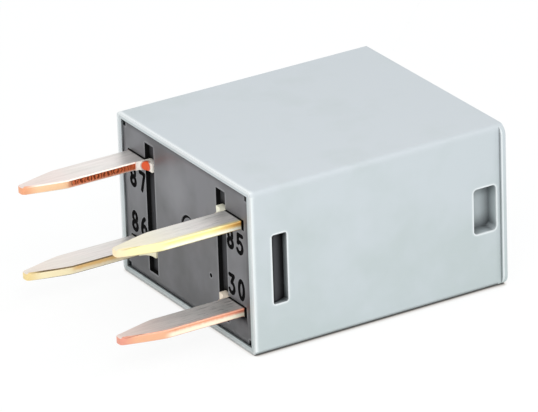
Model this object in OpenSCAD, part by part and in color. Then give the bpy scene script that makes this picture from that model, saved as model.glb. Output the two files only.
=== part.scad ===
// Plug-in automotive relay with one normally open contact, lying on a wide side.
// Modelling axes: x runs from the open rim of the cover to its closed end,
// y runs across the two latch sides and z up, with y and z counted from the middle.
// The blades point to -x. in_frame() moves every piece to the part's own origin.

/* [Cover] */
// Width of the cover across its two latch sides
cover_w = 22.5; // [22.3:0.1:26]
// Thickness of the relay between its two wide sides
cover_h = 15.3; // [15.3:0.1:20]
// Length of the cover from its open rim to its closed end
cover_l = 25.85; // [25:0.05:32]
// Wall on the two latch sides
side_wall = 0.7; // [0.5:0.05:0.8]
// Wall on the two wide sides
flat_wall = 0.55; // [0.4:0.05:0.6]
// Wall of the closed end
end_wall = 0.9; // [0.7:0.05:1.5]
// Radius of the four long outer edges
edge_r = 0.5; // [0.2:0.05:0.8]
// How far the grip lip at the closed end stands out on each latch side
lip_out = 0.3; // [0.1:0.05:0.6]
// Thickness of the grip lip along the cover
lip_t = 0.45; // [0.3:0.05:0.8]
// Corner radius of the grip lip
lip_r = 0.95; // [0.5:0.05:1.5]

/* [Latch windows] */
// Distance from the open rim to the window
window_x = 1.95; // [1.8:0.05:2.6]
// Width of the window along the cover
window_w = 1.5; // [1.3:0.1:1.8]
// Height of the window
window_h = 6.5; // [4:0.1:8]
// Corner radius of the window
window_r = 0.2; // [0.1:0.05:0.4]
// How far the latch reaches into the window
latch_out = 0.45; // [0.25:0.05:0.55]
// Flat top of the latch before its ramp
latch_flat = 0.4; // [0.2:0.05:0.6]
// Clearance round the latch inside the window
latch_gap = 0.1; // [0.05:0.05:0.2]

/* [Tool pockets] */
// Distance from the closed end to the pocket
pocket_x = 0.9; // [0.9:0.05:1.2]
// Width of the pocket along the cover
pocket_w = 2.35; // [1.6:0.05:2.4]
// Height of the pocket
pocket_h = 4.3; // [3:0.1:4.5]
// Depth of the pocket from the outer face
pocket_d = 1.35; // [0.9:0.05:1.5]
// Corner radius of the pocket
pocket_r = 0.35; // [0.1:0.05:0.6]
// Wall round the back of the pocket
pocket_wall = 0.45; // [0.3:0.05:0.5]

/* [Base] */
// Depth of the base face behind the rim of the cover
face_recess = 0.12; // [0.05:0.01:0.3]
// Gap between the base and the cover
base_fit = 0.12; // [0.05:0.01:0.2]
// Inner face of the base plate, counted from the rim
plate_x = 2.2; // [1.8:0.1:2.4]
// Inner end of the skirt round the base plate
skirt_x = 3.6; // [3.5:0.1:3.8]
// Thickness of the skirt
skirt_t = 1.0; // [0.8:0.1:1.2]
// Top of the plinth that carries the yoke
plinth_x = 4.2; // [4.1:0.1:4.5]
// Distance from the plinth to the wide roots of the terminals
plinth_in_y = 0.8; // [0.5:0.1:1.2]
// How far the plinth stays inside the edges of the yoke strip
plinth_in_z = 0.1; // [0.05:0.05:0.5]
// Size of the notch in each corner of the base
corner_notch = 0.45; // [0.2:0.05:0.7]
// Width of each long groove in the face
groove_w = 1.5; // [1:0.1:1.6]
// Distance from the end of each groove to the wide side of the cover
groove_end = 1.5; // [1.35:0.05:2]
// Depth of each groove
groove_d = 0.45; // [0.2:0.05:0.8]
// Distance of each groove inside the middle of its blade row
groove_in = 2.1; // [2:0.1:2.3]
// Clearance round a terminal in its slot
slot_gap = 0.1; // [0.05:0.01:0.12]
// Extra length of each slot beyond the outer edge of its blade
slot_end = 0.25; // [0.1:0.05:0.3]
// Wall round each slot behind the plate
guide_wall = 0.6; // [0.4:0.1:0.7]
// Radius of the round ejector mark in the face
mark_r = 1.25; // [0.8:0.05:1.6]
// Depth of the ejector mark
mark_d = 0.1; // [0.05:0.01:0.2]
// Radius of the vent pit in the face
vent_r = 0.2; // [0.1:0.05:0.3]

/* [Terminals] */
// Thickness of the terminal strip
blade_t = 0.8; // [0.6:0.05:0.85]
// Width of a blade
blade_w = 2.8; // [2.2:0.1:2.8]
// Length of a blade in front of the rim
blade_l = 11.75; // [9:0.05:14]
// Distance from the middle of a blade row to the outer latch side
blade_in_y = 3.15; // [3.1:0.05:3.25]
// Distance from the middle of a blade to the outer wide side
blade_in_z = 3.55; // [3.5:0.05:3.6]
// Length of the narrowing tip
tip_l = 4.1; // [2:0.1:5]
// Width at the end of the tip
tip_w = 0.8; // [0.5:0.05:1.2]
// Radius of the corners at the end of the tip
tip_r = 0.3; // [0.1:0.05:0.35]
// Chamfer along the blade edges
blade_chamfer = 0.1; // [0.05:0.01:0.2]
// Chamfer pressed round the tip
tip_chamfer = 0.3; // [0.2:0.01:0.4]
// Width of the shoulder beside the blade root
shoulder_w = 1.3; // [1:0.1:1.3]
// Radius of the fillet in front of the shoulder
shoulder_r = 0.9; // [0.2:0.05:1]
// Inner end of the wide root of each terminal
root_x = 3.9; // [3.8:0.05:4]
// Inner bend radius of a folded strip
bend_r = 0.25; // [0.15:0.05:0.3]
// Width of the two coil posts
post_w = 1.0; // [0.8:0.1:1.2]
// Inner end of the two coil posts
post_x = 7.8; // [7.7:0.1:8.5]
// How far the coil post on the yoke side lies outside its blade's middle line
near_post_out = 0.7; // [0.7:0.05:0.9]
// How far the coil post on the contact side lies inside its blade's middle line
far_post_in = 0.4; // [0.3:0.1:0.7]

/* [Magnet system] */
// Thickness of the yoke strip
yoke_t = 1.4; // [1.2:0.1:1.5]
// Distance from each edge of the yoke strip to the outer wide side
yoke_in_z = 2.95; // [2.85:0.05:3.5]
// Distance from the yoke strip to the outer latch side
yoke_in_y = 3.45; // [3.35:0.05:3.55]
// Outer bend radius of the yoke
yoke_bend_r = 1.6; // [1.5:0.1:2]
// Length of the short yoke leg beyond the coil axis
yoke_foot = 3.6; // [3:0.1:4.4]
// How much smaller the radius of the core's riveted spigot is
spigot_step = 0.6; // [0.4:0.05:1]
// Thickness of the riveted spigot end
spigot_head = 0.25; // [0.15:0.05:0.35]
// Rim of the winding that the pole face leaves free
pole_rim = 1.0; // [0.5:0.1:1.5]
// Thickness of the pole face
pole_t = 0.8; // [0.6:0.1:0.9]
// Length of the bobbin between the yoke and the pole
bobbin_l = 13.2; // [12.8:0.1:13.4]
// Thickness of the bobbin flanges
flange_t = 0.9; // [0.6:0.1:1]
// Half width of the bobbin flanges as a share of the coil axis's distance from the yoke
flange_share = 0.8125; // [0.75:0.0125:0.85]
// Gap between the bobbin flanges and the wide sides of the cover
flange_room = 1.3; // [1.1:0.05:1.5]
// Wall of the bobbin tube
tube_wall = 0.75; // [0.5:0.05:0.9]
// Radius of the core as a share of the radius of the winding
core_share = 0.45; // [0.35:0.01:0.5]
// How far the flanges stand out past the winding, at least
flange_rim = 0.3; // [0.3:0.05:0.8]
// Pitch of the turns that show on the winding
turn_pitch = 0.38; // [0.3:0.01:0.6]
// Diameter of the two ends of the winding wire
wire_d = 0.2; // [0.15:0.01:0.25]
// Air gap left between the armature and the pole when it is pulled in
air_gap = 0.03; // [0.02:0.01:0.05]

/* [Moving parts] */
// Angle by which the armature opens
open_angle = 3.2; // [2:0.1:3.4]
// Thickness of the armature
armature_t = 1.1; // [0.9:0.1:1.2]
// How far the free end of the armature reaches past the pole face
armature_past = 0.8; // [0.5:0.1:1.1]
// Thickness of the leaf spring
spring_t = 0.2; // [0.15:0.01:0.25]
// Width of the leaf spring over the armature and on the yoke
spring_w = 4.4; // [4:0.1:4.6]
// Gap between the narrow end of the leaf spring and the back stop's strip
spring_room = 0.75; // [0.6:0.05:1]
// Bend radius of the leaf spring at the hinge
spring_bend_r = 1.2; // [1:0.05:1.3]
// Length of the spring leg on the yoke below the hinge
spring_leg = 8.4; // [7.4:0.1:8.6]
// Clearance of a rivet in its hole
rivet_fit = 0.02; // [0.01:0.01:0.05]
// Shank radius of the small rivets
rivet_r = 0.55; // [0.4:0.05:0.65]
// Head radius of the small rivets
rivet_head_r = 0.9; // [0.8:0.05:1]
// Head height of the small rivets
rivet_head = 0.3; // [0.2:0.05:0.35]

/* [Contacts] */
// Distance of the contacts inside the middle line of blade 87
contact_in = 0.4; // [0.3:0.05:0.6]
// Head radius of both contacts
contact_r = 1.3; // [1:0.05:1.4]
// Head height of the fixed contact
fixed_head = 0.65; // [0.5:0.05:0.7]
// Gap left between the contact heads when the armature is pulled in
contact_gap = 0.05; // [0.02:0.01:0.1]
// Head height of the moving contact
moving_head = 0.7; // [0.6:0.05:0.8]
// Thickness of the back stop strip
stop_t = 0.6; // [0.5:0.05:0.65]
// Distance of the back stop strip inside the middle of blade 86
stop_in_z = 0.75; // [0.7:0.05:0.8]
// Width of the back stop strip
stop_w = 1.6; // [1.2:0.1:1.8]
// How far the back stop strip reaches past the end of the spring
stop_past = 0.6; // [0.5:0.05:0.7]
// Foot of the back stop inside the base plate, counted from the rim
stop_foot = 1.5; // [1.4:0.05:1.6]
// How far the nose of the back stop reaches over the spring
stop_nose = 1.65; // [1.5:0.05:1.75]

/* [Resistor] */
// Radius of the ceramic body
resistor_r = 0.78; // [0.6:0.02:0.8]
// Length of the ceramic body
resistor_l = 4.8; // [4:0.1:6]
// Wall of the two end caps
cap_wall = 0.1; // [0.06:0.01:0.12]
// Length of each end cap
cap_l = 1.0; // [0.8:0.05:1.2]
// Distance of the resistor from the rim of the cover
resistor_x = 12.2; // [9.5:0.1:15]
// Gap between the resistor and the winding
resistor_gap = 0.2; // [0.15:0.01:0.22]
// Diameter of the resistor leads
lead_d = 0.5; // [0.4:0.02:0.5]
// Distance of the lead beside the yoke from the inside of the cover
lead_in_y = 0.8; // [0.75:0.01:0.85]
// Gap between the resistor and the inside of the cover
resistor_room = 0.24; // [0.15:0.01:0.4]
// Radius of the solder on each coil post
solder_r = 0.75; // [0.6:0.05:0.8]

/* [Hidden] */
$fn = 48;
eps = 0.01;             // overshoot of a cut past the face it opens
far = 60;               // longer than the whole relay, for cuts that run through
near = -1;              // y sign of the yoke side
away = 1;               // y sign of the contact side
up = 1;
down = -1;

cavity_w = cover_w - 2 * side_wall;
cavity_h = cover_h - 2 * flat_wall;
cavity_end = cover_l - end_wall;
base_w = cavity_w - 2 * base_fit;
base_h = cavity_h - 2 * base_fit;
stop_rib = 0.6;         // width of the ribs in the cover that the base stands against
rib_gap = 0.05;         // play between those ribs and the base

blade_y = cover_w / 2 - blade_in_y;
blade_z = cover_h / 2 - blade_in_z;
root_out = blade_y + blade_w / 2;
root_in = blade_y - blade_w / 2 - shoulder_w;
near_post_y = blade_y + near_post_out;
far_post_y = blade_y - far_post_in;
groove_y = blade_y - groove_in;
groove_l = cover_h - 2 * groove_end;
tab_edge = blade_y + 1;  // outer edge of the strip that leads to the tab of terminal 30
contact_y = blade_y - contact_in;
spring_end = contact_y + contact_r;
stop_y = spring_end + stop_past;
stop_z = blade_z - stop_in_z;
spring_tip_w = 2 * (stop_z - stop_t - spring_room);
near_lead_y = cavity_w / 2 - lead_in_y;

foot_x = plinth_x;
bobbin_x = foot_x + yoke_t;
pole_x = bobbin_x + bobbin_l;
pole_face = pole_x + pole_t;
winding_x = bobbin_x + flange_t;
winding_l = bobbin_l - 2 * flange_t;
yoke_w = cover_h - 2 * yoke_in_z;
yoke_out = cover_w / 2 - yoke_in_y;
yoke_y = yoke_out - yoke_t;
yoke_top = pole_face - air_gap;
plinth_y = root_in - plinth_in_y;
plinth_z = yoke_w / 2 - plinth_in_z;
cap_r = resistor_r + cap_wall;
flange_half_w = flange_share * yoke_y;
flange_half_h = cavity_h / 2 - flange_room;
coil_r = min(flange_half_w - flange_rim,
             flange_half_h - flange_rim,
             cavity_h / 2 - resistor_room - 2 * cap_r - resistor_gap);
core_r = core_share * coil_r;
tube_r = core_r + rivet_fit + tube_wall;
spigot_r = core_r - spigot_step;
pole_r = coil_r - pole_rim;
armature_w = yoke_w;
armature_end = pole_r + armature_past;

hinge = [pole_face, -yoke_out];
armature_x = pole_face + air_gap;
spring_x = armature_x + armature_t;
spring_top = spring_x + spring_t;
fixed_x = spring_x - moving_head - contact_gap - fixed_head;
spring_hole_r = rivet_r + rivet_fit;
shank_r = 0.6 * contact_r;
tail_t = 0.15;          // thickness of the flattened contact tails
tail_r = 0.75 * contact_r;
stop_x = rest_point([spring_top, spring_end])[0] + contact_gap / 2;
armature_rivet_y = [-3.4, 1.8];
spring_rivet_z = 1.3;
spring_rivet_x = yoke_top - spring_leg + 1.6;
weld_x = 7.6;           // middle of the rivet that joins terminal 30 to the yoke
weld_z = -1.4;
tab_x = [5.2, 10.2];    // ends of the folded tab of terminal 30
tab_top = 0.4;

resistor_z = -(cavity_h / 2 - resistor_room - cap_r);
lead_x = 7.2;           // where the resistor leads meet the coil posts
wire_x = 6.75;          // where the ends of the winding leave it
bead_x = 7.1;           // middle of the solder, between the wire and the lead
wire_z = coil_r + 0.45;
bend_steps = 6;
lead_in = 0.02;         // straight stretch kept before and after each bend of a path
tip_bow = 1.15;         // 1 gives a blade tip straight sides, more bows them out
mark_at = [-0.3, 0.4];  // middle of the ejector mark
vent_at = [-3.9, -2.7]; // middle of the vent pit
notch_y = 2.5;          // where the ends of the winding leave the bobbin
wire_beside = 0.25;     // how far the far wire end lies inside the middle of its post
tab_overlap = 0.4;      // how far the tab of terminal 87 reaches past the contact
tab_inset = 0.1;        // how far that tab stays inside the edge of its root

// Point p of the closed armature, moved to where it lies when the armature is open
function rest_point(p) =
    let (v = p - hinge)
    hinge + [v[0] * cos(open_angle) + v[1] * sin(open_angle),
             v[1] * cos(open_angle) - v[0] * sin(open_angle)];

function unit(v) = v / norm(v);

// Corner b between a and c, rounded to radius r with points on the arc
function round_corner(a, b, c, r) =
    let (u = unit(a - b), v = unit(c - b), half = acos(u * v) / 2,
         middle = b + unit(u + v) * r / sin(half),
         first = b + u * r / tan(half) - middle,
         last = b + v * r / tan(half) - middle,
         turn = 180 - 2 * half)
    concat([middle + first + lead_in * u],
           [for (k = [0 : bend_steps])
               let (t = k / bend_steps)
               middle + (first * sin((1 - t) * turn) + last * sin(t * turn)) / sin(turn)],
           [middle + last + lead_in * v]);

// Path p with every inner corner rounded to radius r
function round_path(p, r) =
    [p[0],
     for (i = [1 : len(p) - 2]) each round_corner(p[i - 1], p[i], p[i + 1], r),
     p[len(p) - 1]];

// Direction of path p at each of its points
function path_directions(p) =
    [for (i = [0 : len(p) - 1]) unit(p[min(i + 1, len(p) - 1)] - p[max(i - 1, 0)])];

// Places a piece in the part's own frame
module in_frame() {
    translate([(blade_l - cover_l) / 2, 0, cover_h / 2]) children();
}

// Extrudes a (y, z) outline along x
module along_x(from, to) {
    translate([from, 0, 0]) rotate([90, 0, 90]) linear_extrude(to - from) children();
}

// Extrudes an (x, z) outline along y
module along_y(from, to) {
    translate([0, to, 0]) rotate([90, 0, 0]) linear_extrude(to - from) children();
}

// Extrudes an (x, y) outline along z
module along_z(from, to) {
    translate([0, 0, from]) linear_extrude(to - from) children();
}

// Turns an outline of (radius, length) about an axis through p that points along +x
module turned_x(p) {
    translate(p) rotate([90, 0, 90]) rotate_extrude() children();
}

// The same about an axis that points along +y
module turned_y(p) {
    translate(p) rotate([-90, 0, 0]) rotate_extrude() children();
}

// Rectangle centred on the origin with rounded corners
module soft_rect(w, h, r) {
    offset(r = r) square([w - 2 * r, h - 2 * r], center = true);
}

// Both latch sides of the cover
module both_sides() {
    children();
    mirror([0, 1, 0]) children();
}

// Wire of diameter d that follows path p, with ten flat sides
module wire(p, d) {
    sides = 10;
    dirs = path_directions(p);
    start = unit(cross(dirs[0], abs(dirs[0][0]) > 0.9 ? [0, 0, 1] : [1, 0, 0]));
    rings = [for (i = 0, n = start; i < len(p);
                  i = i + 1, n = i < len(p) ? unit(n - (n * dirs[i]) * dirs[i]) : n)
                for (k = [0 : sides - 1])
                    p[i] + d / 2 * (n * cos(360 * k / sides)
                                    + cross(dirs[i], n) * sin(360 * k / sides))];
    last = (len(p) - 1) * sides;
    skin = [for (i = [0 : len(p) - 2], k = [0 : sides - 1])
                let (m = (k + 1) % sides, a = i * sides)
                [a + k, a + sides + k, a + sides + m, a + m]];
    polyhedron(concat(rings), concat(skin, [[for (k = [0 : sides - 1]) k]],
                                     [[for (k = [sides - 1 : -1 : 0]) last + k]]));
}

// Rivet outline: a low dome on a shank that ends in a second, flatter head
module rivet_outline(r, length, head_r, head_h, tail_r, tail_h) {
    square([r, length]);
    translate([0, length]) intersection() {
        dome = (head_r * head_r + head_h * head_h) / (2 * head_h);
        translate([0, head_h - dome]) circle(dome, $fn = 96);
        square([head_r, head_h]);
    }
    translate([0, -tail_h]) square([tail_r, tail_h]);
}

// ---- housing ----

module cover() {
    boss_y = cover_w / 2 - pocket_d - pocket_wall;
    pocket_mid = cover_l - pocket_x - pocket_w / 2;
    color([0.72, 0.75, 0.77])
    difference() {
        union() {
            difference() {
                union() {
                    along_x(0, cover_l) soft_rect(cover_w, cover_h, edge_r);
                    along_x(cover_l - lip_t, cover_l)
                        soft_rect(cover_w + 2 * lip_out, cover_h, lip_r);
                }
                along_x(-eps, cavity_end) square([cavity_w, cavity_h], center = true);
            }
            both_sides() along_y(boss_y, cavity_w / 2 + eps)
                translate([(pocket_mid - pocket_w / 2 - pocket_wall + cavity_end + eps) / 2, 0])
                    square([cavity_end + eps - pocket_mid + pocket_w / 2 + pocket_wall,
                            pocket_h + 2 * pocket_wall], center = true);
            for (y = [-1, 1], z = [-1, 1])
                along_x(skirt_x + rib_gap, cavity_end + eps)
                    translate([y * (cavity_w - stop_rib + eps) / 2, z * (cavity_h - stop_rib + eps) / 2])
                        square(stop_rib + eps, center = true);
        }
        both_sides() along_y(cavity_w / 2 - eps, far)
            translate([window_x + window_w / 2, 0]) soft_rect(window_w, window_h, window_r);
        both_sides() along_y(cover_w / 2 - pocket_d, far)
            translate([pocket_mid, 0]) soft_rect(pocket_w, pocket_h, pocket_r);
    }
}

// Room for one terminal in the base: its slot, or its guide with a wall round the slot
module terminal_room(y, z, wall) {
    long = root_out + slot_end - root_in + slot_gap;
    translate([y * (root_out + slot_end - long / 2), z * blade_z])
        square([long + 2 * wall, blade_t + 2 * slot_gap + 2 * wall], center = true);
}

// Strip of the back stop seen along x, grown by gap
module stop_room(gap) {
    translate([stop_y - stop_w / 2, -stop_z + stop_t / 2])
        square([stop_w + 2 * gap, stop_t + 2 * gap], center = true);
}

module base() {
    latch_root = base_w / 2 - skirt_t / 2;
    latch_x = window_x + latch_gap;
    latch_top = base_w / 2 + latch_out;
    color([0.36, 0.36, 0.37])
    difference() {
        union() {
            along_x(face_recess, plate_x) base_outline();
            difference() {
                along_x(face_recess, skirt_x) base_outline();
                along_x(0, far) square([base_w - 2 * skirt_t, base_h - 2 * skirt_t], center = true);
            }
            along_x(plate_x - eps, plinth_x) square([2 * plinth_y, 2 * plinth_z], center = true);
            for (y = [near, away], z = [down, up])
                along_x(plate_x - eps, root_x)
                    intersection() {
                        terminal_room(y, z, guide_wall);
                        base_outline();
                    }
            along_x(plate_x - eps, root_x)
                intersection() {
                    stop_room(guide_wall);
                    base_outline();
                }
            both_sides() along_z(latch_gap - window_h / 2, window_h / 2 - latch_gap)
                polygon([[latch_x, latch_root], [latch_x, latch_top],
                         [latch_x + latch_flat, latch_top], [skirt_x, base_w / 2],
                         [skirt_x, latch_root]]);
        }
        for (y = [near, away], z = [down, up])
            along_x(-eps, far) terminal_room(y, z, 0);
        for (y = [near, away])
            along_x(-eps, face_recess + groove_d)
                translate([y * groove_y, 0]) square([groove_w, groove_l], center = true);
        along_x(stop_foot, far) stop_room(rivet_fit);
        turned_x([plinth_x, 0, 0])
            translate([0, -2 * spigot_head]) square([spigot_r + 3 * spigot_head, far]);
        turned_x([face_recess + mark_d, mark_at[0], mark_at[1]]) translate([0, -far]) square([mark_r, far]);
        turned_x([face_recess + groove_d, vent_at[0], vent_at[1]]) translate([0, -far]) square([vent_r, far]);
    }
}

// Outline of the base, with a square notch in each corner
module base_outline() {
    difference() {
        square([base_w, base_h], center = true);
        for (y = [-1, 1], z = [-1, 1])
            translate([y * base_w / 2, z * base_h / 2])
                square(2 * corner_notch, center = true);
    }
}

// ---- terminals ----

// Outline of a blade in (x, y) about its own middle line, drawn in by inset
module blade_outline(inset, tip_inset) {
    steps = 8;
    start = blade_l - tip_l;
    side = [for (k = [0 : steps])
        let (t = k / steps)
        [-start - (tip_l - tip_inset) * t,
         blade_w / 2 - inset
             - (blade_w / 2 - inset - tip_w / 2 + (tip_inset - inset) / 2) * pow(t, tip_bow)]];
    outline = concat([[shoulder_r, blade_w / 2 - inset]], side,
                     [for (k = [steps : -1 : 0]) [side[k][0], -side[k][1]]],
                     [[shoulder_r, inset - blade_w / 2]]);
    corner = max(tip_r - tip_inset / 2, 0.05);
    offset(r = corner, $fn = 24) offset(delta = -corner) polygon(outline);
}

// Blade and wide root of a terminal on side y and level z
module terminal_root(y, z) {
    translate([0, 0, z * blade_z]) scale([1, y, 1]) {
        translate([0, blade_y, 0]) hull() {
            along_z(blade_chamfer - blade_t / 2, blade_t / 2 - blade_chamfer)
                blade_outline(0, 0);
            along_z(-blade_t / 2, blade_t / 2)
                blade_outline(blade_chamfer, tip_chamfer);
        }
        along_z(-blade_t / 2, blade_t / 2) {
            translate([0, root_in]) square([root_x, root_out - root_in]);
            difference() {
                translate([-shoulder_r, root_in + shoulder_w - shoulder_r])
                    square([shoulder_r + eps, shoulder_r + blade_chamfer + eps]);
                translate([-shoulder_r, root_in + shoulder_w - shoulder_r])
                    circle(shoulder_r, $fn = 32);
            }
        }
    }
}

// Narrow post that stands on the root and carries the coil wire
module coil_post(y, z, middle) {
    translate([0, 0, z * blade_z]) along_z(-blade_t / 2, blade_t / 2)
        translate([root_x - eps, y * middle - post_w / 2])
            square([post_x - root_x + eps, post_w]);
}

module terminal_85() {
    color([0.80, 0.77, 0.62]) union() {
        terminal_root(near, up);
        coil_post(near, up, near_post_y);
    }
}

module terminal_86() {
    color([0.80, 0.77, 0.62]) union() {
        terminal_root(away, down);
        coil_post(away, down, far_post_y);
    }
}

module terminal_30() {
    strip_z = -blade_z - blade_t / 2;
    color([0.82, 0.70, 0.60])
    difference() {
        union() {
            terminal_root(near, down);
            along_x(root_x - eps, tab_x[1]) mirror([1, 0])
                translate([yoke_out + blade_t, strip_z])
                    square([tab_edge - yoke_out - blade_t, blade_t]);
            along_x(tab_x[0], tab_x[1]) mirror([1, 0])
                offset(r = bend_r) offset(delta = -bend_r)
                    union() {
                        translate([yoke_out, strip_z]) square([blade_t, tab_top - strip_z]);
                        translate([yoke_out, strip_z]) square([tab_edge - yoke_out, blade_t]);
                    }
        }
        turned_y([weld_x, -far / 2, weld_z]) square([rivet_r + rivet_fit, far]);
    }
}

module terminal_87() {
    strip_in = contact_y - contact_r;
    strip_w = root_out - tab_inset - strip_in;
    tab_low = -contact_r - tab_overlap;
    color([0.82, 0.70, 0.60])
    difference() {
        union() {
            terminal_root(away, up);
            translate([0, 0, blade_z]) along_z(-blade_t / 2, blade_t / 2)
                translate([root_x - eps, strip_in])
                    square([fixed_x - blade_t - bend_r - root_x + 2 * eps, strip_w]);
            translate([fixed_x - blade_t - bend_r, strip_in, blade_z - blade_t / 2 - bend_r])
                rotate([-90, 0, 0]) rotate_extrude(angle = -90)
                    translate([bend_r, 0]) square([blade_t, strip_w]);
            along_x(fixed_x - blade_t, fixed_x)
                translate([strip_in, tab_low])
                    square([strip_w, blade_z - blade_t / 2 - bend_r + eps - tab_low]);
        }
        turned_x([0, contact_y, 0]) square([shank_r + rivet_fit, far]);
    }
}

// ---- magnet system ----

module yoke() {
    color([0.62, 0.62, 0.60])
    difference() {
        along_z(-yoke_w / 2, yoke_w / 2) difference() {
            intersection() {
                translate([foot_x, -yoke_out])
                    square([yoke_top - foot_x, yoke_out + yoke_foot]);
                translate([foot_x + yoke_bend_r, yoke_bend_r - yoke_out])
                    offset(r = yoke_bend_r) square([far, far]);
            }
            translate([foot_x + yoke_t, -yoke_y]) square([far, far]);
        }
        turned_x([0, 0, 0]) square([spigot_r + rivet_fit, bobbin_x + eps]);
        for (z = [-1, 1])
            turned_y([spring_rivet_x, -far / 2, z * spring_rivet_z])
                square([rivet_r + rivet_fit, far / 2]);
        turned_y([weld_x, -far / 2, weld_z]) square([rivet_r + rivet_fit, far / 2]);
    }
}

module core() {
    pole_edge = 0.15;
    color([0.66, 0.66, 0.64])
    turned_x([0, 0, 0]) polygon([
        [0, foot_x - spigot_head], [spigot_r + spigot_head, foot_x - spigot_head],
        [spigot_r + spigot_head, foot_x], [spigot_r, foot_x], [spigot_r, bobbin_x],
        [core_r, bobbin_x], [core_r, pole_x], [pole_r, pole_x],
        [pole_r, pole_face - pole_edge], [pole_r - pole_edge, pole_face], [0, pole_face]]);
}

module bobbin() {
    flange_r = 1.2;
    wire_notch = wire_d * 2;
    color([0.22, 0.24, 0.26])
    difference() {
        union() {
            turned_x([bobbin_x, 0, 0]) square([tube_r, bobbin_l]);
            along_x(bobbin_x, winding_x)
                soft_rect(2 * flange_half_w, 2 * flange_half_h, flange_r);
            along_x(pole_x - flange_t, pole_x)
                soft_rect(2 * flange_half_w, 2 * flange_half_h, flange_r);
        }
        turned_x([0, 0, 0]) square([core_r + rivet_fit, far]);
        for (z = [-1, 1])
            along_x(bobbin_x - eps, winding_x + eps)
                translate([-z * notch_y, z * flange_half_h])
                    square(2 * wire_notch, center = true);
    }
}

module coil_winding() {
    turns = floor(winding_l / turn_pitch);
    pitch = winding_l / turns;
    depth = pitch * 0.3;
    profile = concat([[tube_r, 0]],
                     [for (i = [0 : turns - 1]) each [[coil_r - depth, i * pitch],
                                                      [coil_r, (i + 0.5) * pitch]]],
                     [[coil_r - depth, winding_l], [tube_r, winding_l]]);
    color([0.72, 0.35, 0.18]) union() {
        turned_x([winding_x, 0, 0]) polygon(profile, convexity = 8);
        near_wire();
        far_wire();
    }
}

// Ends of the winding wire, from inside the winding to the faces of the coil posts
function near_wire_path() =
    [[wire_x, -1, coil_r - 3 * wire_d], [wire_x, -notch_y, wire_z], [wire_x, -near_post_y, wire_z],
     [wire_x, -near_post_y, blade_z + blade_t / 2]];
function far_wire_path() =
    [[wire_x, 1, -coil_r + 3 * wire_d], [wire_x, notch_y, -wire_z],
     [wire_x, far_post_y - wire_beside, -wire_z],
     [wire_x, far_post_y - wire_beside, -blade_z - blade_t / 2]];

module near_wire() {
    wire(round_path(near_wire_path(), 3 * wire_d), wire_d);
}

module far_wire() {
    wire(round_path(far_wire_path(), 3 * wire_d), wire_d);
}

module spring_rivets() {
    grip = yoke_t + spring_t;
    color([0.70, 0.70, 0.68])
    for (z = [-1, 1])
        translate([spring_rivet_x, -yoke_y, z * spring_rivet_z]) rotate([90, 0, 0])
            rotate_extrude()
                rivet_outline(rivet_r, grip, rivet_head_r, rivet_head, rivet_head_r, rivet_head / 2);
}

module terminal_rivet() {
    color([0.70, 0.70, 0.68])
    translate([weld_x, -yoke_y, weld_z]) rotate([90, 0, 0]) rotate_extrude()
        rivet_outline(rivet_r, yoke_t + blade_t, rivet_head_r, rivet_head, rivet_head_r, rivet_head / 2);
}

module fixed_contact() {
    color([0.85, 0.85, 0.83])
    turned_x([fixed_x - blade_t, contact_y, 0])
        rivet_outline(shank_r, blade_t, contact_r, fixed_head, tail_r, tail_t);
}

module back_stop() {
    nose_w = spring_end + contact_gap - (stop_y - stop_w);
    color([0.62, 0.62, 0.60]) union() {
        along_x(stop_foot, stop_x + stop_t) stop_room(0);
        along_x(stop_x, stop_x + stop_t)
            translate([stop_y - stop_w, -stop_z]) square([nose_w, stop_t + stop_nose]);
    }
}

// ---- suppression resistor ----

module resistor_body() {
    color([0.35, 0.52, 0.62])
    turned_y([resistor_x, -resistor_l / 2, resistor_z]) square([resistor_r, resistor_l]);
}

module resistor_caps() {
    color([0.75, 0.75, 0.73])
    both_sides() turned_y([resistor_x, resistor_l / 2 - cap_l, resistor_z])
        difference() {
            square([cap_r, cap_l + cap_wall]);
            translate([-eps, -eps]) square([resistor_r + eps, cap_l + eps]);
        }
}

// Routes of the two leads, from the caps to the coil posts
function near_lead_path() =
    [[resistor_x, -resistor_l / 2 - cap_wall, resistor_z], [resistor_x, -near_lead_y, resistor_z],
     [lead_x, -near_lead_y, resistor_z], [lead_x, -near_lead_y, blade_z],
     [lead_x, -near_post_y - post_w / 2, blade_z]];
function far_lead_path() =
    [[resistor_x, resistor_l / 2 + cap_wall, resistor_z], [resistor_x, far_post_y, resistor_z],
     [lead_x, far_post_y, resistor_z], [lead_x, far_post_y, -blade_z - blade_t / 2]];

module near_lead() {
    wire(round_path(near_lead_path(), 0.6 * lead_d), lead_d);
}

module far_lead() {
    wire(round_path(far_lead_path(), 1.5 * lead_d), lead_d);
}

module resistor_leads() {
    color([0.78, 0.76, 0.72]) {
        near_lead();
        far_lead();
    }
}

// Bead of solder at p on a coil post, with the post and the two wires cut out of it
module solder_bead(p) {
    difference() {
        translate(p) sphere(solder_r);
        children();
    }
}

module solder_joints() {
    color([0.80, 0.80, 0.80]) {
        solder_bead([bead_x, -near_post_y - post_w / 2, blade_z + blade_t / 4]) {
            coil_post(near, up, near_post_y);
            near_lead();
            near_wire();
        }
        solder_bead([bead_x, far_post_y, -blade_z - blade_t / 2]) {
            coil_post(away, down, far_post_y);
            far_lead();
            far_wire();
        }
    }
}

// ---- moving pieces, drawn pulled in and turned open about the hinge ----

module opened() {
    translate([hinge[0], hinge[1], 0]) rotate([0, 0, -open_angle])
        translate([-hinge[0], -hinge[1], 0]) children();
}

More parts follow.
